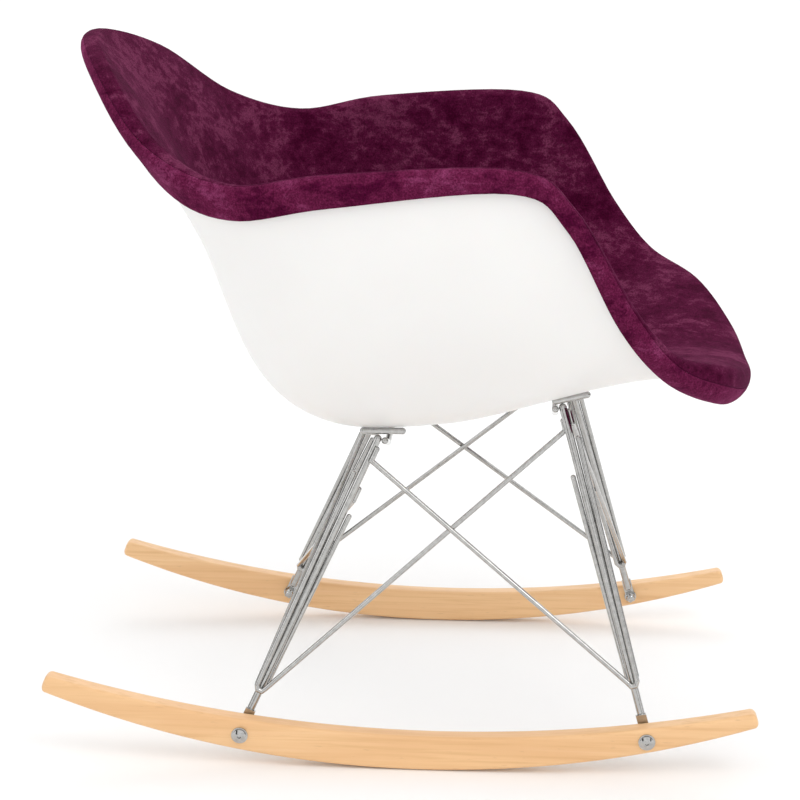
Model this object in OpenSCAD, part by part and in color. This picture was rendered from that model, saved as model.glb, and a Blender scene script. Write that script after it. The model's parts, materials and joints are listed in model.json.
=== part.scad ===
// Rocking armchair: a moulded bucket shell, upholstered inside, on a welded wire base
// with two curved runners.
// Millimetres. +Z is up and the chair faces -Y. The origin is on the floor, at the centre
// of the chair's outline.

/* [Seat] */
// Distance between the two arm rims, measured between the centres of the shell's edge
seat_width = 604; // [580:2:630]
// Wall thickness of the moulded shell
shell_t = 4; // [3:0.5:5]
// Thickness of the foam on the inside of the shell
foam_t = 9; // [8:0.5:10]
// Thickness of the velvet cover
cover_t = 1.6; // [1.2:0.1:2]
// Height that the upholstery stands above the shell's edge
crown_h = 11; // [10:0.5:13]
// Thickness of the upholstery on the outside of the shell's edge
border_t = 7; // [6:0.5:9]

/* [Runners] */
// Length of a runner from tip to tip
runner_len = 690; // [660:5:720]
// Radius of the curve that a runner rocks on
rock_r = 990; // [940:10:1040]
// Radius of a runner's upper curve
runner_top_r = 1390; // [1340:10:1440]
// Height of a runner where it is tallest
runner_h = 34.5; // [32:0.5:38]
// Thickness of a runner
runner_t = 19; // [17:0.5:22]
// Distance between the two runners, centre to centre
runner_gap = 400; // [390:5:420]
// Place of the lowest point of the rocking curve, front to back
low_y = -23; // [-30:1:-15]

/* [Wire base] */
// Diameter of the leg rods
leg_d = 7.5; // [7:0.5:9]
// Diameter of the bracing wires
wire_d = 5; // [4:0.5:5.5]
// Diameter of the two bars that join the legs under the seat
bar_d = 6.5; // [6:0.5:8]
// Radius of the hairpin bend at the foot of a bracing wire
hairpin_r = 4.4; // [4.2:0.1:5.5]

/* [Fasteners] */
// Thread diameter of all bolts and screws
bolt_d = 6; // [5:0.5:7]
// Diameter of the bolt heads on the runners
head_d = 13; // [12:0.5:14]

/* [Hidden] */

// Stations along one half of the shell's edge, from the middle of the back, round the arm, to the middle of
// the front. Each holds the edge point, the handle that leads from it down into the bucket, the length of the
// handle at the lowest point of the seat, how far the cover reaches down the outside below the edge, and how
// much thicker than elsewhere its edge band is there.
STATIONS = [
    [[0, 312, 673], [0, -168, -195], 182, 30, 0],
    [[128, 278, 648], [-36, -148, -186], 176, 34, 0],
    [[218, 219, 592], [-62, -102, -160], 170, 32, 0],
    [[276, 141, 564], [-52, -40, -160], 162, 19, 0],
    [[300, 50, 577], [-42, -5, -185], 168, 16, 0],
    [[302, -105, 583], [-38, 5, -185], 178, 7, 0],
    [[302, -156, 551], [-38, 16, -150], 176, 8, 0],
    [[294, -205, 465], [-54, 40, -70], 166, 8, 0],
    [[264, -246, 416], [-74, 60, -25], 150, 10, 3],
    [[204, -295, 392], [-50, 80, 8], 130, 27, 14],
    [[100, -321, 368], [-25, 85, 28], 110, 27, 12],
    [[0, -327, 357], [0, 85, 30], 100, 26, 10]
];
// Lowest point of the seat, in the middle of the shell's wall
seat_low = [0, 40, 300];
// The stations above are set out for this distance between the arms
station_width = 604;
width_k = seat_width / station_width;
LAST = len(STATIONS) - 1;
steps_per_station = 3;
HALF_COLUMNS = LAST * steps_per_station;
COLUMNS = 2 * HALF_COLUMNS;
// Gap between the shell, the foam and the cover, so that no two of them touch
lay_gap = 0.3;

// Station i, mirrored to the other side when side is -1, and past either end of the row
function station(i, side) = let (k = i < 0 ? -i : i > LAST ? 2 * LAST - i : i,
    flip = (i < 0 || i > LAST) ? -1 : 1)
    [flat3(STATIONS[k][0], flip * side), flat3(STATIONS[k][1], flip * side), STATIONS[k][2], STATIONS[k][3],
        STATIONS[k][4]];
function flat3(v, side) = [v[0] * side * width_k, v[1], v[2]];
function spline(a, b, c, d, t) = 0.5 * (2 * b + (c - a) * t + (2 * a - 5 * b + 4 * c - d) * t * t
    + (3 * b - a - 3 * c + d) * t * t * t);
// Item k of the station row at u, from 0 at the back to LAST at the front
function along(u, side, k) = let (i = min(floor(u), LAST - 1), t = u - i)
    spline(station(i - 1, side)[k], station(i, side)[k], station(i + 1, side)[k], station(i + 2, side)[k], t);
function unit(v) = v / norm(v);
function level(v) = [v[0], v[1], 0];
function edge_point(u, side) = along(u, side, 0);
function edge_handle(u, side) = along(u, side, 1);
// Middle of the shell's wall at u along the edge and s from the lowest point, 0, to the edge, 1
function wall(u, side, s) = let (e = edge_point(u, side),
    near = seat_low + unit(level(e - seat_low)) * along(u, side, 2),
    far = e + edge_handle(u, side), r = 1 - s)
    r * r * r * seat_low + 3 * r * r * s * near + 3 * r * s * s * far + s * s * s * e;

// The whole wall as a grid: rows from the lowest point out to the edge, columns round the chair
ROWS = 15;
function row_s(i) = i / ROWS;
function column_u(j) = let (k = j <= HALF_COLUMNS ? j : COLUMNS - j) k / steps_per_station;
function column_side(j) = j <= HALF_COLUMNS ? 1 : -1;
GRID = [for (i = [1:ROWS]) [for (j = [0:COLUMNS - 1]) wall(column_u(j), column_side(j), row_s(i))]];
function grid_point(i, j) = GRID[i][(j + COLUMNS) % COLUMNS];
function climb(i, j) = i == 0 ? grid_point(1, j) - seat_low
    : i == ROWS - 1 ? grid_point(i, j) - grid_point(i - 1, j)
    : grid_point(i + 1, j) - grid_point(i - 1, j);
// Unit vector out of the wall into the bucket
NORMALS = [for (i = [0:ROWS - 1]) [for (j = [0:COLUMNS - 1])
    unit(cross(grid_point(i, j + 1) - grid_point(i, j - 1), climb(i, j)))]];
EDGE = [for (j = [0:COLUMNS - 1]) grid_point(ROWS - 1, j)];
EDGE_IN = [for (j = [0:COLUMNS - 1]) NORMALS[ROWS - 1][j]];
EDGE_UP = [for (j = [0:COLUMNS - 1]) unit(-edge_handle(column_u(j), column_side(j)))];
WRAP = [for (j = [0:COLUMNS - 1]) along(column_u(j), column_side(j), 3)];
LIP = [for (j = [0:COLUMNS - 1]) along(column_u(j), column_side(j), 4)];

// Rings at a set distance inside the wall, d, which is below zero on the outside
function layer(d, first, last) = let (step = last >= first ? 1 : -1)
    [for (i = [first:step:last]) [for (j = [0:COLUMNS - 1]) GRID[i][j] + NORMALS[i][j] * d]];
// Ring round the shell's edge, a to the inside and b above the edge, and e times the lip's extra outwards
function edge_ring(a, b, e = 0) = [for (j = [0:COLUMNS - 1])
    EDGE[j] + EDGE_IN[j] * (a - e * LIP[j]) + EDGE_UP[j] * b];
// Ring on the outside of the shell, a outwards plus e times the lip's extra, and k times
// the wrap below the edge
// plus c
function wrap_ring(a, k, c, e = 0) = [for (j = [0:COLUMNS - 1])
    let (drop = WRAP[j] * k + c, q = outside_at(j, drop)) q - out_normal(j, drop) * (a + e * LIP[j])];
// Point of the wall's middle at a distance below the edge, and its normal, measured along one column
function column_length(j, i) = i >= ROWS - 1 ? 0
    : norm(GRID[i + 1][j] - GRID[i][j]) + column_length(j, i + 1);
function row_below(j, drop, i) = (i == 1 || column_length(j, i - 1) > drop) ? i : row_below(j, drop, i - 1);
function drop_row(j, drop) = row_below(j, drop, ROWS - 1);
function drop_t(j, drop) = let (i = drop_row(j, drop), a = column_length(j, i), b = column_length(j, i - 1))
    (drop - a) / (b - a);
function outside_at(j, drop) = let (i = drop_row(j, drop), t = drop_t(j, drop))
    GRID[i][j] * (1 - t) + GRID[i - 1][j] * t;
function out_normal(j, drop) = let (i = drop_row(j, drop), t = drop_t(j, drop))
    unit(NORMALS[i][j] * (1 - t) + NORMALS[i - 1][j] * t);

// A closed solid through a list of rings, closed at both ends by a point
module loft(start, rings, finish) {
    m = len(rings);
    n = COLUMNS;
    points = [start, for (r = rings) each r, finish];
    faces = [
        for (j = [0:n - 1]) [0, 1 + j, 1 + (j + 1) % n],
        for (i = [0:m - 2]) for (j = [0:n - 1]) let (a = 1 + i * n + j, b = 1 + i * n + (j + 1) % n)
            each [[a, a + n, b + n], [a, b + n, b]],
        for (j = [0:n - 1]) [m * n + 1, 1 + (m - 1) * n + (j + 1) % n, 1 + (m - 1) * n + j]
    ];
    polyhedron(points, faces, convexity = 8);
}
// The same for a band of rings that closes on itself
module band(rings) {
    m = len(rings);
    n = COLUMNS;
    points = [for (r = rings) each r];
    faces = [for (i = [0:m - 1]) for (j = [0:n - 1])
        let (k = (i + 1) % m, a = i * n + j, b = i * n + (j + 1) % n, c = k * n + (j + 1) % n, d = k * n + j)
            each [[a, d, c], [a, c, b]]];
    polyhedron(points, faces, convexity = 8);
}

// Straight round bar from a to b
module rod(a, b, d) {
    v = b - a;
    translate(a) rotate([0, acos(v[2] / norm(v)), atan2(v[1], v[0])]) cylinder(h = norm(v), d = d, $fn = 32);
}
// Round bar through a list of points, with a ball a little thicker than the bar at every point
ball_k = 1.04;
module ball(p, d) translate(p) sphere(d = d * ball_k, $fn = 48);
module bent_bar(path, d) {
    for (i = [0:len(path) - 2]) rod(path[i], path[i + 1], d);
    for (p = path) ball(p, d);
}
// Cylinder on an axis across the chair, from x0 outwards to x0 + w
module disc(x0, y, z, w, d) {
    translate([x0, y, z]) rotate([0, 90, 0]) cylinder(h = w, d = d, $fn = 40);
}
module both_sides() {
    children();
    mirror([1, 0, 0]) children();
}

// Runners. The curves are arcs about a centre straight above the lowest point.
runner_x = runner_gap / 2;
inner_x = runner_x - runner_t / 2;
outer_x = runner_x + runner_t / 2;
top_low_y = low_y - 16;
tip_round = 4;
function rock_z(y) = rock_r - sqrt(pow(rock_r, 2) - pow(y - low_y, 2));
function top_z(y) = runner_h + runner_top_r - sqrt(pow(runner_top_r, 2) - pow(y - top_low_y, 2));
function mid_z(y) = (rock_z(y) + top_z(y)) / 2;
rear_bolt = [151, mid_z(151)];
front_bolt = [-239, mid_z(-239)];
hole_play = 0.3;
bore_d = bolt_d + 2 * hole_play;

// Side outline of a runner, with its ends cut square to the curve
module runner_outline() {
    half = runner_len / 2;
    rear = [half, rock_z(half)];
    front = [-half, rock_z(-half)];
    rear_tilt = asin((half - low_y) / rock_r);
    front_tilt = asin((half + low_y) / rock_r);
    rear_cut = runner_h * [-sin(rear_tilt), cos(rear_tilt)];
    front_cut = runner_h * [sin(front_tilt), cos(front_tilt)];
    intersection() {
        difference() {
            translate([low_y, rock_r]) circle(r = rock_r, $fn = 360);
            translate([top_low_y, runner_h + runner_top_r]) circle(r = runner_top_r, $fn = 480);
        }
        polygon([front - front_cut, [-half / 2, -half], [half / 2, -half], rear - rear_cut, rear + rear_cut,
            front + front_cut]);
    }
}
module runner() {
    difference() {
        translate([inner_x, 0, 0]) rotate([90, 0, 90]) linear_extrude(height = runner_t) runner_outline();
        for (p = [front_bolt, rear_bolt]) disc(inner_x - 1, p[0], p[1], runner_t + 2, bore_d);
    }
}
module runner_left() color("burlywood") runner();
module runner_right() color("burlywood") mirror([1, 0, 0]) runner();

// Legs: a flat lug with a bolt hole on the inside of the runner, and a round rod up to the seat
lug_t = 3;
lug_w = 13;
lug_neck_w = 10;
lug_len = 20;
lug_gap = 0.2;
lug_x = inner_x - lug_gap - lug_t;
front_top = [115, -154, 339];
rear_top = [118, 24, 305];
rod_set_in = 3;
rod_start = 13;
function foot(p) = [inner_x - rod_set_in, p[0], p[1]];
function leg_at(p, top, t) = foot(p) + (top - foot(p)) * t;
module leg(p, top) {
    v = unit(top - foot(p));
    difference() {
        union() {
            disc(lug_x, p[0], p[1], lug_t, lug_w);
            translate([lug_x, p[0], p[1]]) rotate([atan2(-v[1], v[2]), 0, 0])
                translate([0, -lug_neck_w / 2, 0]) cube([lug_t, lug_neck_w, lug_len]);
            rod(foot(p) + v * rod_start, top, leg_d);
            ball(foot(p) + v * rod_start, leg_d);
            ball(top, leg_d);
        }
        disc(lug_x - 1, p[0], p[1], lug_t + 1.5, bore_d);
    }
}
module leg_front_left() color("silver") leg(front_bolt, front_top);
module leg_front_right() color("silver") mirror([1, 0, 0]) leg(front_bolt, front_top);
module leg_rear_left() color("silver") leg(rear_bolt, rear_top);
module leg_rear_right() color("silver") mirror([1, 0, 0]) leg(rear_bolt, rear_top);

// Cross bars that join the leg tops from side to side
weld_gap = 0.15;
bar_off = (leg_d + bar_d) / 2 + weld_gap;
bar_bend_x = 85;
// How far a bar's end lies past the leg top, and below it
bar_past = 2;
bar_under = 1.5;
// Bar beside the leg tops at p, its middle at height z under the belly of the shell
module cross_bar(p, z) {
    y = p[1] + bar_off * (p[1] < 0 ? 1 : -1);
    bend = [bar_bend_x, y, z];
    tip = [p[0] + bar_past, y, p[2] - bar_under];
    rod([-bar_bend_x, y, z], bend, bar_d);
    both_sides() {
        rod(bend, tip, bar_d);
        ball(bend, bar_d);
        ball(tip, bar_d);
    }
}
module front_cross_bar() color("silver") cross_bar(front_top, 326);
module rear_cross_bar() color("silver") cross_bar(rear_top, 292.5);

// Bracing wires. Each runs down beside its own leg, turns back round a hairpin and climbs to the next leg.
wire_off = (leg_d + wire_d) / 2 + weld_gap;
// Unit vectors of a leg on the +X side: up along it, out across it, and forward across it
function up_of(p, top) = unit(top - foot(p));
function out_of(p, top) = let (v = up_of(p, top)) unit([1, 0, 0] - v * v[0]);
function front_of(p, top) = cross(out_of(p, top), up_of(p, top));
function flip(v) = [-v[0], v[1], v[2]];
// How far the hairpin stands off the leg, how far the straight run does, and how far the far end does
hairpin_off = wire_off - 0.1;
run_off = wire_off + 0.6;
end_off = wire_off * 0.73;
// Own leg p to top, the side of the leg the run is on (1 front, -1 rear), the face the hairpin crosses
// (1 outer, -1 inner), the hairpin's place and the run's top as parts of the leg, then the far end's points
function brace_path(p, top, side, face, low, high, far) = let (out = out_of(p, top),
    fr = front_of(p, top) * side,
    q = leg_at(p, top, low) + out * (face * hairpin_off), down = -up_of(p, top) * hairpin_r)
    [leg_at(p, top, high) + fr * run_off,
        for (w = [0:60:180]) q + fr * (hairpin_r * cos(w)) + down * sin(w),
        each far];
// Far end on a leg on the +X side: two points beside the leg, given across it and along the chair
function far_end(p, top, ts, across, ahead) = [for (t = ts)
    leg_at(p, top, t) + out_of(p, top) * (across * end_off) + front_of(p, top) * (ahead * end_off)];
// Where the hairpins are, as parts of the leg
front_low = 0.158;
rear_low = 0.14;
module side_brace_front() bent_bar(brace_path(front_bolt, front_top, 1, 1, front_low, 0.9,
    far_end(rear_bolt, rear_top, [0.93, 0.97], 1.3, 0.75)), wire_d);
module side_brace_rear() bent_bar(brace_path(rear_bolt, rear_top, -1, 1, rear_low, 0.87,
    far_end(front_bolt, front_top, [0.93, 0.96], -1.3, -0.75)), wire_d);
// Brace from the +X leg to the top of the -X leg, passing in front of the other brace or behind it
module plane_brace(p, top, side, low, high, ts, ahead) bent_bar(brace_path(p, top, side, -1, low, high,
    [for (q = far_end(p, top, ts, -1, ahead)) flip(q)]), wire_d);
module side_brace_left_front() color("silver") side_brace_front();
module side_brace_right_front() color("silver") mirror([1, 0, 0]) side_brace_front();
module side_brace_left_rear() color("silver") side_brace_rear();
module side_brace_right_rear() color("silver") mirror([1, 0, 0]) side_brace_rear();
module front_brace_left() color("silver")
    plane_brace(front_bolt, front_top, -1, front_low, 0.82, [0.945, 0.985], 1);
module front_brace_right() color("silver") mirror([1, 0, 0])
    plane_brace(front_bolt, front_top, -1, front_low + 0.01, 0.79, [0.84, 0.88], -1.1);
module rear_brace_left() color("silver")
    plane_brace(rear_bolt, rear_top, 1, rear_low, 0.74, [0.79, 0.83], 1);
module rear_brace_right() color("silver") mirror([1, 0, 0])
    plane_brace(rear_bolt, rear_top, 1, rear_low, 0.74, [0.79, 0.83], -1);

// Short rods that lie on the leg tops, along the chair, close under the shell
module top_rod_front() bent_bar([[115.5, -147, 345], [115, -177, 351.8]], bar_d);
module top_rod_rear() bent_bar([[117, 38, 312.4], [117, 0, 312.8]], bar_d);
module top_rod_front_left() color("silver") top_rod_front();
module top_rod_front_right() color("silver") mirror([1, 0, 0]) top_rod_front();
module top_rod_rear_left() color("silver") top_rod_rear();
module top_rod_rear_right() color("silver") mirror([1, 0, 0]) top_rod_rear();

// Seat mounts: at four places under the shell, a rubber pad between the shell and a steel tab on a cross bar.
// Row and column of the wall's grid.
MOUNTS = [[1, 13], [6, 29]];
pad_t = 2.5;
pad_d = 22;
tab_t = 2.5;
tab_w = 18;
tab_ahead = 18;
tab_behind = 11;
tee_barrel_d = bolt_d + 2.5;
tee_flange_d = 16;
tee_flange_t = 1.2;
tee_play = 0.2;
washer_t = 1.2;
screw_len = 15;
// Places children with +Z into the shell at a mount, and +X towards the side of the chair
module at_mount(m) {
    n = NORMALS[m[0]][m[1]];
    p = GRID[m[0]][m[1]] - n * (shell_t / 2);
    x = unit(cross([0, 1, 0], n));
    y = cross(n, x);
    multmatrix([[x[0], y[0], n[0], p[0]], [x[1], y[1], n[1], p[1]], [x[2], y[2], n[2], p[2]], [0, 0, 0, 1]])
        children();
}
module at_all_mounts() both_sides() for (m = MOUNTS) at_mount(m) children();
module mount_pads() color("dimgray") at_all_mounts() translate([0, 0, -lay_gap - pad_t]) difference() {
    cylinder(h = pad_t, d = pad_d, $fn = 40);
    translate([0, 0, -1]) cylinder(h = pad_t + 2, d = bore_d, $fn = 40);
}
tab_z = -lay_gap - pad_t - 0.1 - tab_t;
module mount_tabs() color("silver") at_all_mounts() translate([0, 0, tab_z]) difference() {
    translate([-tab_w / 2, -tab_ahead, 0]) cube([tab_w, tab_ahead + tab_behind, tab_t]);
    translate([0, 0, -1]) cylinder(h = tab_t + 2, d = bore_d, $fn = 40);
}
module mount_washers() color("silver") at_all_mounts()
    translate([0, 0, tab_z - 0.1 - washer_t]) difference() {
    cylinder(h = washer_t, d = bolt_d * 2, $fn = 40);
    translate([0, 0, -1]) cylinder(h = washer_t + 2, d = bore_d, $fn = 40);
}
// Button head with a hexagonal recess, standing on z = 0, its shank going down
module button_screw(head, dome, shank_d, shank) {
    recess = head * 0.32;
    difference() {
        union() {
            intersection() {
                cylinder(h = dome, d = head, $fn = 48);
                translate([0, 0, dome - head * 0.9]) sphere(r = head * 0.9, $fn = 64);
            }
            translate([0, 0, -shank]) cylinder(h = shank + 0.1, d = shank_d, $fn = 40);
        }
        translate([0, 0, dome * 0.45]) cylinder(h = dome, d = recess, $fn = 6);
    }
}
module mount_screws() color("silver") at_all_mounts()
    translate([0, 0, tab_z - 0.2 - washer_t]) rotate([180, 0, 0])
        button_screw(bolt_d * 1.75, 3, bolt_d, screw_len);
// Threaded insert: a barrel through the shell, and a flange inside it, under the foam
module tee_nuts() color("silver") at_all_mounts() difference() {
    union() {
        translate([0, 0, 0.4]) cylinder(h = shell_t + tee_play, d = tee_barrel_d, $fn = 40);
        translate([0, 0, shell_t + 0.4]) cylinder(h = tee_flange_t, d = tee_flange_d, $fn = 40);
    }
    translate([0, 0, -1]) cylinder(h = shell_t + 6, d = bolt_d + 0.2, $fn = 40);
}

// Runner fasteners
head_h = 3.4;
rim_washer_t = 1;
rim_washer_d = 16;
nut_d = 11.5;
nut_h = 5;
cap_r = 5;
bolt_reach = 3;
FEET = [front_bolt, rear_bolt];
module at_outer(d) both_sides() for (p = FEET)
    translate([outer_x + d, p[0], p[1]]) rotate([0, 90, 0]) children();
module at_inner(d) both_sides() for (p = FEET)
    translate([lug_x - d, p[0], p[1]]) rotate([0, -90, 0]) children();
module runner_washers() color("silver") at_outer(0.1) difference() {
    cylinder(h = rim_washer_t, d = rim_washer_d, $fn = 40);
    translate([0, 0, -1]) cylinder(h = rim_washer_t + 2, d = bore_d, $fn = 40);
}
module runner_bolts() color("silver") at_outer(0.2 + rim_washer_t)
    button_screw(head_d, head_h, bolt_d, runner_t + lug_t + lug_gap + rim_washer_t + bolt_reach);
module cap_nuts() color("silver") at_inner(0.2) difference() {
    union() {
        cylinder(h = nut_h, d = nut_d, $fn = 6);
        intersection() {
            translate([0, 0, nut_h - 1]) sphere(r = cap_r, $fn = 48);
            cylinder(h = nut_h + cap_r, d = nut_d, $fn = 48);
        }
    }
    translate([0, 0, -1]) cylinder(h = bolt_reach + 2, d = bolt_d + 0.2, $fn = 40);
}

// Seat. Distances of the surfaces from the middle of the shell's wall, inwards.
shell_in = shell_t / 2;
foam_in = shell_in + lay_gap;
foam_top = foam_in + foam_t;
cover_in = foam_top + lay_gap;
cover_top = cover_in + cover_t;
border_in = shell_in + lay_gap;
border_out = shell_in + border_t;
SEAT_NORMAL = [0, 0, 1];
module seat_shell() color("whitesmoke") difference() {
    loft(seat_low + SEAT_NORMAL * -shell_in,
        [each layer(-shell_in, 0, ROWS - 1), edge_ring(-0.6 * shell_in, 0.8 * shell_in),
            edge_ring(0.6 * shell_in, 0.8 * shell_in), each layer(shell_in, ROWS - 1, 0)],
        seat_low + SEAT_NORMAL * shell_in);
    at_all_mounts() translate([0, 0, -5])
        cylinder(h = shell_t + 10, d = tee_barrel_d + 2 * tee_play, $fn = 40);
}
module seat_foam() color("khaki") difference() {
    loft(seat_low + SEAT_NORMAL * foam_in,
        [each layer(foam_in, 0, ROWS - 1),
            edge_ring(foam_in + 1, crown_h * 0.45), edge_ring(foam_top - 3, crown_h * 0.45),
            each layer(foam_top, ROWS - 1, 0)],
        seat_low + SEAT_NORMAL * foam_top);
    at_all_mounts() cylinder(h = shell_t + 5, d = tee_flange_d + 1, $fn = 40);
}
module velvet_cover() color("purple")
    loft(seat_low + SEAT_NORMAL * cover_in,
        [each layer(cover_in, 0, ROWS - 1), edge_ring(foam_top - 2.6, crown_h * 0.45 + 0.6),
            edge_ring(shell_in + 0.8, crown_h * 0.45 + 1.2), edge_ring(shell_in + 0.6, crown_h),
            edge_ring(foam_top - 3, crown_h * 0.86), edge_ring(cover_top - 1, crown_h * 0.45),
            each layer(cover_top, ROWS - 1, 0)],
        seat_low + SEAT_NORMAL * cover_top);
module edge_border() color("mediumvioletred") band([
    edge_ring(0, shell_in + 0.4), edge_ring(shell_in + 0.2, shell_in + 0.9),
    edge_ring(shell_in + 0.2, crown_h * 0.97),
    edge_ring(-border_out * 0.25, crown_h * 0.9, 0.3), edge_ring(-border_out * 0.8, crown_h * 0.4, 0.8),
    edge_ring(-border_out, -1, 1), wrap_ring(border_out, 0.5, 0, 1), wrap_ring(border_out, 1, -2, 0.6),
    wrap_ring(border_out - 2, 1, 0, 0.4), wrap_ring(border_in, 1, 0), wrap_ring(border_in, 0.5, 0),
    edge_ring(-border_in, 0)]);

seat_shell();
seat_foam();
velvet_cover();
edge_border();
tee_nuts();
mount_pads();
mount_tabs();
mount_washers();
mount_screws();
top_rod_front_right();
top_rod_front_left();
top_rod_rear_right();
top_rod_rear_left();
front_cross_bar();
rear_cross_bar();
leg_front_right();
leg_front_left();
leg_rear_right();
leg_rear_left();
side_brace_right_front();
side_brace_right_rear();
side_brace_left_front();
side_brace_left_rear();
front_brace_right();
front_brace_left();
rear_brace_right();
rear_brace_left();
runner_right();
runner_left();
runner_bolts();
runner_washers();
cap_nuts();
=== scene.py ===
import json
import math

import bpy
import numpy as np
from mathutils import Matrix, Vector, noise


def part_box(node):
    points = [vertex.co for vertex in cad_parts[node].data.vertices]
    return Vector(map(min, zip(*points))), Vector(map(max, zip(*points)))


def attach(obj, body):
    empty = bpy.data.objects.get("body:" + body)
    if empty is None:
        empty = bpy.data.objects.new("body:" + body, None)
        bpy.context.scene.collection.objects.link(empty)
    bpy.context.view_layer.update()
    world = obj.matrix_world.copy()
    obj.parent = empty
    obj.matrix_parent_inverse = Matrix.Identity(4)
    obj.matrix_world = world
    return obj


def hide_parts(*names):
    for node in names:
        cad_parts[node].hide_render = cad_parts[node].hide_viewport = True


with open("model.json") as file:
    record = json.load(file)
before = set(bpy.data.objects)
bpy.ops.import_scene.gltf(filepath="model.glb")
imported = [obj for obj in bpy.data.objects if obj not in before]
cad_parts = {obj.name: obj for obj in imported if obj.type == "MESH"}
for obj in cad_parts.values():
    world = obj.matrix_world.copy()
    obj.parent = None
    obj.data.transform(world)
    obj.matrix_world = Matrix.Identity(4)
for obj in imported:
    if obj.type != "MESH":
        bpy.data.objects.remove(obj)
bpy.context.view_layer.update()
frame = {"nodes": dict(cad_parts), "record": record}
NODES = frame["nodes"]
MM = 0.001

# ---------------------------------------------------------------- materials


class Shader:
    """A material's node tree, with short calls for the nodes used here."""

    def __init__(self, name):
        self.mat = bpy.data.materials.new(name)
        self.mat.use_nodes = True
        self.nt = self.mat.node_tree
        self.bsdf = self.nt.nodes["Principled BSDF"]
        self.coords = self.nt.nodes.new("ShaderNodeTexCoord").outputs["Object"]

    def link(self, a, b):
        self.nt.links.new(a, b)

    def value(self, **inputs):
        for key, v in inputs.items():
            self.bsdf.inputs[key.replace("_", " ")].default_value = v

    def mapped(self, scale, rot=(0, 0, 0)):
        n = self.nt.nodes.new("ShaderNodeMapping")
        n.inputs["Scale"].default_value = scale
        n.inputs["Rotation"].default_value = rot
        self.link(self.coords, n.inputs["Vector"])
        return n.outputs["Vector"]

    def noise(self, vector, scale, detail=4, rough=0.55, distortion=0.0):
        n = self.nt.nodes.new("ShaderNodeTexNoise")
        n.inputs["Scale"].default_value = scale
        n.inputs["Detail"].default_value = detail
        n.inputs["Roughness"].default_value = rough
        n.inputs["Distortion"].default_value = distortion
        self.link(vector, n.inputs["Vector"])
        return n.outputs["Fac"]

    def ramp(self, fac, stops, smooth=True):
        n = self.nt.nodes.new("ShaderNodeValToRGB")
        e = n.color_ramp.elements
        n.color_ramp.interpolation = "EASE" if smooth else "LINEAR"
        while len(e) < len(stops):
            e.new(0.5)
        for item, (at, col) in zip(e, stops):
            item.position = at
            item.color = (*col, 1)
        self.link(fac, n.inputs["Fac"])
        return n.outputs["Color"]

    def math(self, op, a, b):
        n = self.nt.nodes.new("ShaderNodeMath")
        n.operation = op
        for i, x in enumerate((a, b)):
            if isinstance(x, (int, float)):
                n.inputs[i].default_value = x
            else:
                self.link(x, n.inputs[i])
        return n.outputs[0]

    def mix(self, fac, a, b, kind="MIX"):
        n = self.nt.nodes.new("ShaderNodeMix")
        n.data_type = "RGBA"
        n.blend_type = kind
        for key, x in (("Factor", fac), ("A", a), ("B", b)):
            sockets = [s for s in n.inputs if s.name == key and s.enabled]
            s = sockets[0]
            if isinstance(x, (int, float)):
                s.default_value = x
            elif isinstance(x, tuple):
                s.default_value = (*x, 1)
            else:
                self.link(x, s)
        return [s for s in n.outputs if s.enabled][0]

    def bump(self, height, strength, distance, normal=None):
        n = self.nt.nodes.new("ShaderNodeBump")
        n.inputs["Strength"].default_value = strength
        n.inputs["Distance"].default_value = distance
        self.link(height, n.inputs["Height"])
        if normal is not None:
            self.link(normal, n.inputs["Normal"])
        return n.outputs["Normal"]


def velvet(name, dark, mid, light, contrast, sheen):
    """Crushed velvet: broad clouds where the nap lies one way or the other, broken up by fine flecks."""
    s = Shader(name)
    clouds = s.noise(s.mapped((1.0, 1.0, 1.3)), 13, 8, 0.68, 0.3)
    flecks = s.noise(s.mapped((1.0, 1.0, 1.5), (0.3, 0.5, 0.2)), 85, 8, 0.74, 0.25)
    streaks = s.noise(s.mapped((1.0, 0.45, 2.6), (0.5, 0.2, 0.4)), 30, 6, 0.62, 0.7)
    h = s.math("ADD", s.math("MULTIPLY", clouds, 0.46), s.math("MULTIPLY", flecks, 0.36))
    h = s.math("ADD", h, s.math("MULTIPLY", streaks, 0.18))
    col = s.ramp(h, [(0.5 - contrast, dark), (0.5, mid), (0.5 + contrast, light)])
    grain = s.noise(s.coords, 620, 4, 0.75)
    col = s.mix(0.75, col, s.ramp(grain, [(0.34, (0.5, 0.42, 0.46)), (0.66, (1.5, 1.7, 1.55))]), "MULTIPLY")
    s.link(col, s.bsdf.inputs["Base Color"])
    soft = s.bump(flecks, 0.3, 0.0009)
    s.link(s.bump(grain, 0.6, 0.0005, soft), s.bsdf.inputs["Normal"])
    s.value(Roughness=0.94, Sheen_Weight=sheen, Sheen_Roughness=0.35, Sheen_Tint=(0.80, 0.15, 0.44, 1),
            Specular_IOR_Level=0.03)
    return s.mat


def plastic():
    s = Shader("white satin plastic")
    clouds = s.noise(s.coords, 5, 3, 0.5)
    tint = s.ramp(clouds, [(0.3, (0.83, 0.82, 0.805)), (0.7, (0.86, 0.85, 0.835))])
    s.link(tint, s.bsdf.inputs["Base Color"])
    grain = s.noise(s.coords, 1400, 2, 0.5)
    s.link(s.bump(grain, 0.12, 0.0001), s.bsdf.inputs["Normal"])
    s.value(Roughness=0.38, Specular_IOR_Level=0.5, Coat_Weight=0.12, Coat_Roughness=0.25,
            Subsurface_Weight=0.05, Subsurface_Scale=0.004)
    return s.mat


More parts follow.
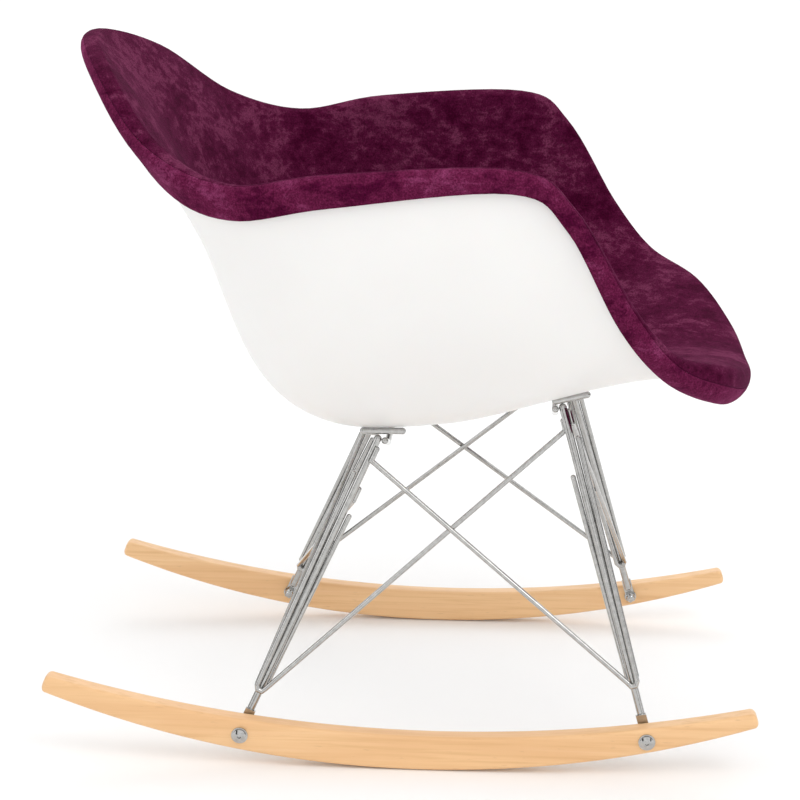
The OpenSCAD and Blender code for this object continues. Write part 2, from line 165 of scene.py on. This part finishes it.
def beech():
    """Beech: long fine grain, soft broad figure and the short dark flecks of its rays."""
    s = Shader("beech")
    lines = s.noise(s.mapped((60, 1.6, 60), (0.015, 0, 0)), 4, 5, 0.6, 0.3)
    broad = s.noise(s.mapped((9, 0.9, 14), (0.03, 0, 0)), 3, 3, 0.5, 0.6)
    rays = s.noise(s.mapped((420, 60, 420)), 1.0, 2, 0.5)
    col = s.ramp(lines, [(0.3, (0.74, 0.44, 0.205)), (0.55, (0.84, 0.53, 0.27)), (0.75, (0.88, 0.58, 0.32))])
    col = s.mix(s.ramp(broad, [(0.35, (0, 0, 0)), (0.7, (0.5, 0.5, 0.5))]), col, (0.72, 0.40, 0.18))
    fleck = s.ramp(rays, [(0.66, (0, 0, 0)), (0.74, (0.35, 0.35, 0.35))], False)
    col = s.mix(fleck, col, (0.56, 0.32, 0.16))
    s.link(col, s.bsdf.inputs["Base Color"])
    s.link(s.bump(lines, 0.15, 0.0003), s.bsdf.inputs["Normal"])
    s.link(s.ramp(lines, [(0.3, (0.5, 0.5, 0.5)), (0.7, (0.38, 0.38, 0.38))]), s.bsdf.inputs["Roughness"])
    s.value(Coat_Weight=0.25, Coat_Roughness=0.3, Specular_IOR_Level=0.45)
    return s.mat


def chrome():
    s = Shader("polished chrome")
    haze = s.noise(s.coords, 240, 3, 0.5)
    s.link(s.ramp(haze, [(0.3, (0.05, 0.05, 0.05)), (0.8, (0.11, 0.11, 0.11))]), s.bsdf.inputs["Roughness"])
    tint = s.ramp(haze, [(0.2, (0.40, 0.397, 0.388)), (0.8, (0.52, 0.516, 0.505))])
    s.link(tint, s.bsdf.inputs["Base Color"])
    s.value(Metallic=1.0)
    return s.mat


def rubber():
    s = Shader("black rubber")
    haze = s.noise(s.coords, 300, 3, 0.5)
    tint = s.ramp(haze, [(0.3, (0.018, 0.018, 0.019)), (0.8, (0.032, 0.032, 0.033))])
    s.link(tint, s.bsdf.inputs["Base Color"])
    s.link(s.bump(haze, 0.3, 0.0002), s.bsdf.inputs["Normal"])
    s.value(Roughness=0.7)
    return s.mat


PLUM_DARK = (0.040, 0.0008, 0.014)
PLUM_MID = (0.066, 0.004, 0.026)
PLUM_LIGHT = (0.125, 0.020, 0.058)
MAT = {
    "velvet": velvet("plum crushed velvet", PLUM_DARK, PLUM_MID, PLUM_LIGHT, 0.075, 0.12),
    # The edge band is the pad's velvet made lighter: painted sheen on the band where it rolls over the
    # shell's edge.
    "velvet_border": velvet("plum velvet edge band lightened for painted sheen", (0.055, 0.002, 0.021), (0.105, 0.009, 0.042),
                            (0.175, 0.026, 0.085), 0.085, 0.2),
    "shell_plastic": plastic(),
    "beech": beech(),
    "chrome_steel": chrome(),
    "pad_rubber": rubber(),
}

slots = {p["node"]: p["material_slot"] for p in frame["record"]["subparts"]}
for name, obj in NODES.items():
    mat = MAT.get(slots[name], MAT["velvet"])
    for i in range(max(1, len(obj.material_slots))):
        if obj.material_slots:
            obj.material_slots[i].material = mat
        else:
            obj.data.materials.append(mat)

# ---------------------------------------------------------------- the bucket's surface
# The same stations as the CAD part, in millimetres: the shell's edge, the handle down into the bucket, the
# handle's length at the lowest point, the wrap below the edge and the edge band's extra thickness.
STATIONS = [
    ((0, 312, 673), (0, -168, -195), 182, 30, 0),
    ((128, 278, 648), (-36, -148, -186), 176, 34, 0),
    ((218, 219, 592), (-62, -102, -160), 170, 32, 0),
    ((276, 141, 564), (-52, -40, -160), 162, 19, 0),
    ((300, 50, 577), (-42, -5, -185), 168, 16, 0),
    ((302, -105, 583), (-38, 5, -185), 178, 7, 0),
    ((302, -156, 551), (-38, 16, -150), 176, 8, 0),
    ((294, -205, 465), (-54, 40, -70), 166, 8, 0),
    ((264, -246, 416), (-74, 60, -25), 150, 10, 3),
    ((204, -295, 392), (-50, 80, 8), 130, 27, 14),
    ((100, -321, 368), (-25, 85, 28), 110, 27, 12),
    ((0, -327, 357), (0, 85, 30), 100, 26, 10),
]
LOW = np.array([0, 40, 300.0])
LAST = len(STATIONS) - 1
TABLE = np.array([[*e, *t, a, w, x] for e, t, a, w, x in STATIONS], float)
PER = 8
HALF = LAST * PER
COLS = 2 * HALF


def station(i, side):
    k = -i if i < 0 else (2 * LAST - i if i > LAST else i)
    row = TABLE[k].copy()
    s = side * (-1 if (i < 0 or i > LAST) else 1)
    row[0] *= s
    row[3] *= s
    return row


def curve_point(a, b, c, d, t):
    """A point at t from b to c on the smooth curve through a, b, c and d."""
    bend = (2 * a - 5 * b + 4 * c - d) * t * t + (3 * b - a - 3 * c + d) * t ** 3
    return 0.5 * (2 * b + (c - a) * t + bend)


def along(u, side):
    i = min(int(math.floor(u)), LAST - 1)
    t = u - i
    return curve_point(*(station(i + k, side) for k in (-1, 0, 1, 2)), t)


ROWS = []
for j in range(COLS):
    k = j if j <= HALF else COLS - j
    ROWS.append(along(k / PER, 1 if j <= HALF else -1))
ROWS = np.array(ROWS)
EDGE, HANDLE, NEAR = ROWS[:, 0:3], ROWS[:, 3:6], ROWS[:, 6]
WRAP, LIP = ROWS[:, 7], ROWS[:, 8]
SIDE = EDGE - LOW
SIDE[:, 2] = 0
SIDE /= np.linalg.norm(SIDE, axis=1)[:, None]


def wall(s):
    """The middle of the shell's wall at s, 0 at the lowest point and 1 at the edge, for every column."""
    r = 1 - s
    return (r ** 3 * LOW + 3 * r * r * s * (LOW + SIDE * NEAR[:, None])
            + 3 * r * s * s * (EDGE + HANDLE) + s ** 3 * EDGE)


def wall_slope(s):
    r = 1 - s
    return (3 * r * r * (SIDE * NEAR[:, None]) + 6 * r * s * (EDGE + HANDLE - LOW - SIDE * NEAR[:, None])
            + 3 * s * s * (-HANDLE))


def unit(v):
    return v / np.linalg.norm(v, axis=-1, keepdims=True)


def normals(s):
    p = wall(s)
    round_it = np.roll(p, -1, 0) - np.roll(p, 1, 0)
    return unit(np.cross(round_it, wall_slope(s)))


EDGE_IN = normals(1.0)
EDGE_UP = unit(-HANDLE)
S_OF = np.linspace(0, 1, 241)
LENGTH = np.zeros((len(S_OF), COLS))
for i in range(1, len(S_OF)):
    LENGTH[i] = LENGTH[i - 1] + np.linalg.norm(wall(S_OF[i]) - wall(S_OF[i - 1]), axis=1)


def below(drop):
    """Points and normals of the wall a distance below the edge, one distance for each column."""
    want = LENGTH[-1] - drop
    s = np.array([np.interp(want[j], LENGTH[:, j], S_OF) for j in range(COLS)])[:, None]
    r = 1 - s
    near = LOW + SIDE * NEAR[:, None]
    far = EDGE + HANDLE
    p = r ** 3 * LOW + 3 * r * r * s * near + 3 * r * s * s * far + s ** 3 * EDGE
    d = 3 * r * r * (near - LOW) + 6 * r * s * (far - near) + 3 * s * s * (EDGE - far)
    n = unit(np.cross(np.roll(p, -1, 0) - np.roll(p, 1, 0), d))
    return p, n


def ring(s, d):
    return wall(s) + normals(s) * d


def edge_ring(a, b, e=0.0):
    return EDGE + EDGE_IN * (np.reshape(a, (-1, 1)) - e * LIP[:, None]) + EDGE_UP * np.reshape(b, (-1, 1))


def wrap_ring(a, k, c, e=0.0):
    p, n = below(WRAP * k + c)
    return p - n * (a + e * LIP[:, None])


def smooth_rings(rings, times):
    """More rings between the given ones, on a smooth curve through them."""
    r = np.array(rings)
    out = []
    n = len(r)
    for i in range(n - 1):
        a, b, c, d = r[max(i - 1, 0)], r[i], r[i + 1], r[min(i + 2, n - 1)]
        for k in range(times):
            out.append(curve_point(a, b, c, d, k / times))
    out.append(r[-1])
    return out


def mesh_object(name, verts, faces, mat):
    me = bpy.data.meshes.new(name)
    me.from_pydata([tuple(v) for v in verts], [], faces)
    me.validate()
    me.update()
    me.polygons.foreach_set("use_smooth", [True] * len(me.polygons))
    me.materials.append(mat)
    ob = bpy.data.objects.new(name, me)
    bpy.context.scene.collection.objects.link(ob)
    return ob


def loft(name, start, rings, finish, mat):
    m, n = len(rings), COLS
    verts = np.vstack([[start], *rings, [finish]]) * MM
    faces = [(0, 1 + j, 1 + (j + 1) % n) for j in range(n)]
    for i in range(m - 1):
        for j in range(n):
            a, b = 1 + i * n + j, 1 + i * n + (j + 1) % n
            faces.append((a, a + n, b + n, b))
    z = 1 + (m - 1) * n
    faces += [(m * n + 1, z + (j + 1) % n, z + j) for j in range(n)]
    return mesh_object(name, verts, faces, mat)


def band(name, rings, mat):
    m, n = len(rings), COLS
    verts = np.vstack(rings) * MM
    faces = []
    for i in range(m):
        k = (i + 1) % m
        for j in range(n):
            a, b, c, d = i * n + j, i * n + (j + 1) % n, k * n + (j + 1) % n, k * n + j
            faces.append((a, d, c, b))
    return mesh_object(name, verts, faces, mat)


def place(piece, slot, *nodes):
    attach(piece, "root")
    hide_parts(*nodes)
    return piece


UP = np.array([0, 0, 1.0])
SHELL = 2.0
S_IN = list(np.linspace(0.03, 1.0, 30))

# The moulded shell
rings = [ring(s, -SHELL) for s in S_IN]
rings += [edge_ring(-SHELL * 0.8, SHELL * 0.6), edge_ring(0, SHELL), edge_ring(SHELL * 0.8, SHELL * 0.6)]
rings += [ring(s, SHELL) for s in reversed(S_IN)]
shell = loft("moulded_shell", LOW - UP * SHELL, rings, LOW + UP * SHELL, MAT["shell_plastic"])
place(shell, "shell_plastic", "seat_shell")


def creases(p, normal, amount):
    """Soft waves in the padding, long along one direction."""
    out = np.empty(len(p))
    for i, q in enumerate(p):
        a = noise.noise(Vector((q[0] * 0.006, q[1] * 0.016 + 3.1, q[2] * 0.022)))
        b = noise.noise(Vector((q[0] * 0.02 + 7.7, q[1] * 0.02, q[2] * 0.03)))
        out[i] = amount * (0.8 * a + 0.35 * b)
    return p + normal * out[:, None]


# The padded inside: foam under velvet, from just inside the shell to the seam on the crest
PAD_LOW, PAD_TOP = SHELL + 0.6, 13.4
S_PAD = list(np.linspace(0.03, 0.96, 40))
top = []
for s in S_PAD:
    n = normals(s)
    top.append(creases(wall(s) + n * (PAD_TOP + 0.8 * math.sin(math.pi * min(1, s * 1.05))), n, 1.3))
lower = [ring(s, PAD_LOW) for s in S_PAD]
roll = smooth_rings([top[-1], edge_ring(13.0, 0.5), edge_ring(11.4, 5.4), edge_ring(8.2, 9.2, 0.1),
                     edge_ring(4.6, 11.2, 0.25), edge_ring(1.9, 11.9, 0.4), edge_ring(1.25, 11.6, 0.43)], 3)
under = smooth_rings([edge_ring(1.7, 8.4, 0.3), edge_ring(2.8, 4.0), edge_ring(PAD_LOW, 0.5), lower[-1]], 2)
pad = loft("velvet_pad", LOW + UP * PAD_LOW, lower + under[::-1][1:] + roll[::-1][:-1] + top[::-1],
           LOW + UP * (PAD_TOP + 0.1), MAT["velvet"])
place(pad, "velvet", "velvet_cover", "seat_foam")

# The edge band: sewn to the pad along the crest, rolled over the shell's edge and tucked in against it
OUT, TUCK = 9.0, 2.4
section = [edge_ring(1.0, 8.2, 0.32), edge_ring(0.95, 11.5, 0.44), edge_ring(0.3, 11.85, 0.46),
           edge_ring(-2.6, 11.2, 0.6), edge_ring(-6.0, 8.6, 0.82), edge_ring(-8.3, 4.4, 0.97),
           edge_ring(-OUT, 0, 1.0)]
section += [wrap_ring(OUT, k, 0, e) for k, e in ((0.2, 1.0), (0.45, 0.98), (0.7, 0.86))]
section += [wrap_ring(OUT - 0.4, 0.88, 0, 0.68), wrap_ring(OUT - 2.2, 0.985, 0, 0.5),
            wrap_ring(OUT - 5, 1.0, 0.2, 0.3), wrap_ring(TUCK, 1.0, -0.4, 0)]
section = smooth_rings(section, 3)
inside = [wrap_ring(TUCK, k, -0.4, 0) for k in (0.8, 0.6, 0.4, 0.2)]
inside += [edge_ring(-TUCK, 0.5), edge_ring(-1.8, 1.9), edge_ring(0, 2.7), edge_ring(1.2, 3.6),
           edge_ring(1.1, 6.0, 0.1)]
border = band("edge_band", section + inside, MAT["velvet_border"])
place(border, "velvet_border", "edge_border")

# ---------------------------------------------------------------- runners
# Rounded beech bars on the CAD runners' curves: the same two arcs, ends cut square, long edges rounded.
ROCK_R, TOP_R, LOW_Y, TOP_LOW_Y, RUNNER_H = 990.0, 1390.0, -23.0, -39.0, 34.5
EDGE_R, TIP_R = 3.6, 4.5
HALF_LENGTH = 345
BOLT_Y = (151.0, -239.0)
BORE_R = 3.3


def rock_z(y):
    return ROCK_R - math.sqrt(ROCK_R ** 2 - (y - LOW_Y) ** 2)


def top_z(y):
    return RUNNER_H + TOP_R - math.sqrt(TOP_R ** 2 - (y - TOP_LOW_Y) ** 2)


def runner(name, node):
    lo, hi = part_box(node)
    half_t = (hi.x - lo.x) / 2 / MM
    mid_x = (hi.x + lo.x) / 2 / MM
    n = 150
    a0 = math.asin((-HALF_LENGTH - LOW_Y) / ROCK_R)
    a1 = math.asin((HALF_LENGTH - LOW_Y) / ROCK_R)
    corner = [0, 15, 30, 45, 60, 75, 90]
    verts, faces = [], []
    steps = [0, 0.25, 0.6, 1.2, 2.2, 3.4, 4.6]
    length = (a1 - a0) * ROCK_R
    dist = steps + list(np.linspace(8, length - 8, n)) + [length - d for d in reversed(steps)]
    for d in dist:
        a = a0 + d / ROCK_R
        base = np.array([LOW_Y + ROCK_R * math.sin(a), ROCK_R - ROCK_R * math.cos(a)])
        up = np.array([-math.sin(a), math.cos(a)])
        h = RUNNER_H
        for _ in range(12):
            q = base + up * h
            h -= (q[1] - top_z(q[0])) / up[1]
        near_tip = min(d, length - d)
        cut = TIP_R - math.sqrt(max(0, TIP_R ** 2 - (TIP_R - near_tip) ** 2)) if near_tip < TIP_R else 0
        cut = min(cut, TIP_R * 0.85)
        hw, hh = half_t - cut, h / 2 - cut
        r = max(0.6, min(EDGE_R, hh))
        c = base + up * h / 2
        for sx, sz, start in ((1, 1, 0), (-1, 1, 90), (-1, -1, 180), (1, -1, 270)):
            for w in corner:
                t = math.radians(start + w)
                x = sx * (hw - r) + r * math.cos(t)
                z = sz * (hh - r) + r * math.sin(t)
                verts.append((mid_x + x, *(c + up * z)))
    m = 4 * len(corner)
    k = len(verts) // m
    for i in range(k - 1):
        for j in range(m):
            faces.append((i * m + j, i * m + (j + 1) % m, (i + 1) * m + (j + 1) % m, (i + 1) * m + j))
    faces.append(tuple(reversed(range(m))))
    faces.append(tuple((k - 1) * m + j for j in range(m)))
    ob = mesh_object(name, np.array(verts) * MM, faces, MAT["beech"])
    ob.data.polygons.foreach_set("use_smooth", [len(p.vertices) == 4 for p in ob.data.polygons])
    return ob


def bore(ob, y, z):
    lo, hi = ob.bound_box[0], ob.bound_box[6]
    centre = ((lo[0] + hi[0]) / 2, y * MM, z * MM)
    bpy.ops.mesh.primitive_cylinder_add(vertices=48, radius=BORE_R * MM, depth=0.08,
                                        location=centre, rotation=(0, math.pi / 2, 0))
    tool = bpy.context.object
    mod = ob.modifiers.new("bore", "BOOLEAN")
    mod.operation = "DIFFERENCE"
    mod.solver = "EXACT"
    mod.object = tool
    bpy.context.view_layer.objects.active = ob
    bpy.ops.object.modifier_apply(modifier="bore")
    bpy.data.objects.remove(tool, do_unlink=True)


BOLTS = [(y, (rock_z(y) + top_z(y)) / 2) for y in BOLT_Y]
for side in ("right", "left"):
    bar = runner("beech_runner_" + side, "runner_" + side)
    for y, z in BOLTS:
        bore(bar, y, z)
    place(bar, "beech", "runner_" + side)

# ---------------------------------------------------------------- floor, light and camera


def panel(name, at, size, turn, colour):
    bpy.ops.mesh.primitive_plane_add(size=1, location=at, rotation=turn)
    ob = bpy.context.object
    ob.name = name
    ob.scale = (size[0], size[1], 1)
    s = Shader(name)
    s.value(Base_Color=(*colour, 1), Roughness=0.9)
    ob.data.materials.append(s.mat)
    return ob


floor = panel("floor", (0, 0, -0.0005), (14, 14), (0, 0, 0), (0.93, 0.93, 0.93))

bpy.context.scene.view_settings.view_transform = "Standard"
world = bpy.data.worlds.new("studio")
bpy.context.scene.world = world
world.use_nodes = True
wt = world.node_tree
back = wt.nodes["Background"]
gen = wt.nodes.new("ShaderNodeTexCoord")
sep = wt.nodes.new("ShaderNodeSeparateXYZ")
fall = wt.nodes.new("ShaderNodeValToRGB")
wt.links.new(gen.outputs["Generated"], sep.inputs[0])
wt.links.new(sep.outputs["Z"], fall.inputs["Fac"])
fall.color_ramp.elements[0].position = 0.0
fall.color_ramp.elements[0].color = (0.97, 0.97, 0.97, 1)
fall.color_ramp.elements[1].position = 0.35
fall.color_ramp.elements[1].color = (1, 1, 1, 1)
wt.links.new(fall.outputs["Color"], back.inputs["Color"])
back.inputs["Strength"].default_value = 1.12


def lamp(name, at, to, size, power, colour=(1, 1, 1)):
    data = bpy.data.lights.new(name, "AREA")
    data.shape = "RECTANGLE"
    data.size, data.size_y = size
    data.energy = power
    data.color = colour
    ob = bpy.data.objects.new(name, data)
    ob.location = at
    ob.rotation_euler = (Vector(to) - Vector(at)).to_track_quat("-Z", "Y").to_euler()
    bpy.context.scene.collection.objects.link(ob)


lamp("key", (-1.6, -1.5, 2.6), (0, 0, 0.4), (1.5, 1.5), 18)
lamp("fill", (-1.6, 2.2, 1.6), (0, 0, 0.4), (1.4, 1.4), 3)
lamp("rim", (1.8, 0.3, 2.2), (0, 0, 0.5), (1.6, 1.2), 9)

# Dark cards that only the polished bars see, so that they have something dark to reflect
for name, at, size, turn in (
        ("dark_card_a", (-3.2, 2.0, 0.9), (2.6, 1.3), (0, math.pi / 2, 0.35)),
        ("dark_card_b", (-3.0, -2.5, 0.9), (2.6, 1.3), (0, math.pi / 2, -0.45)),
        ("dark_card_c", (1.3, 2.5, 0.7), (1.3, 2.4), (0, math.pi / 2, 1.1)),
        ("dark_card_d", (1.3, -2.5, 0.7), (1.3, 2.4), (0, math.pi / 2, -1.1))):
    panel(name, at, size, turn, (0.01, 0.01, 0.01)).visible_camera = False

CAMERA_AT = (-2.0105, -0.1296, 0.8486)
CAMERA_AHEAD = (0.96406, 0.06723, -0.25705)
cam_data = bpy.data.cameras.new("camera")
cam_data.sensor_width = 36
cam_data.lens = 91.8
cam_data.clip_start = 0.05
camera = bpy.data.objects.new("camera", cam_data)
bpy.context.scene.collection.objects.link(camera)
ahead = Vector(CAMERA_AHEAD).normalized()
right = ahead.cross(Vector((0, 0, 1))).normalized()
above = right.cross(ahead)
turn = Matrix((right, above, -ahead)).transposed().to_4x4()
camera.matrix_world = Matrix.Translation(CAMERA_AT) @ turn
bpy.context.scene.camera = camera
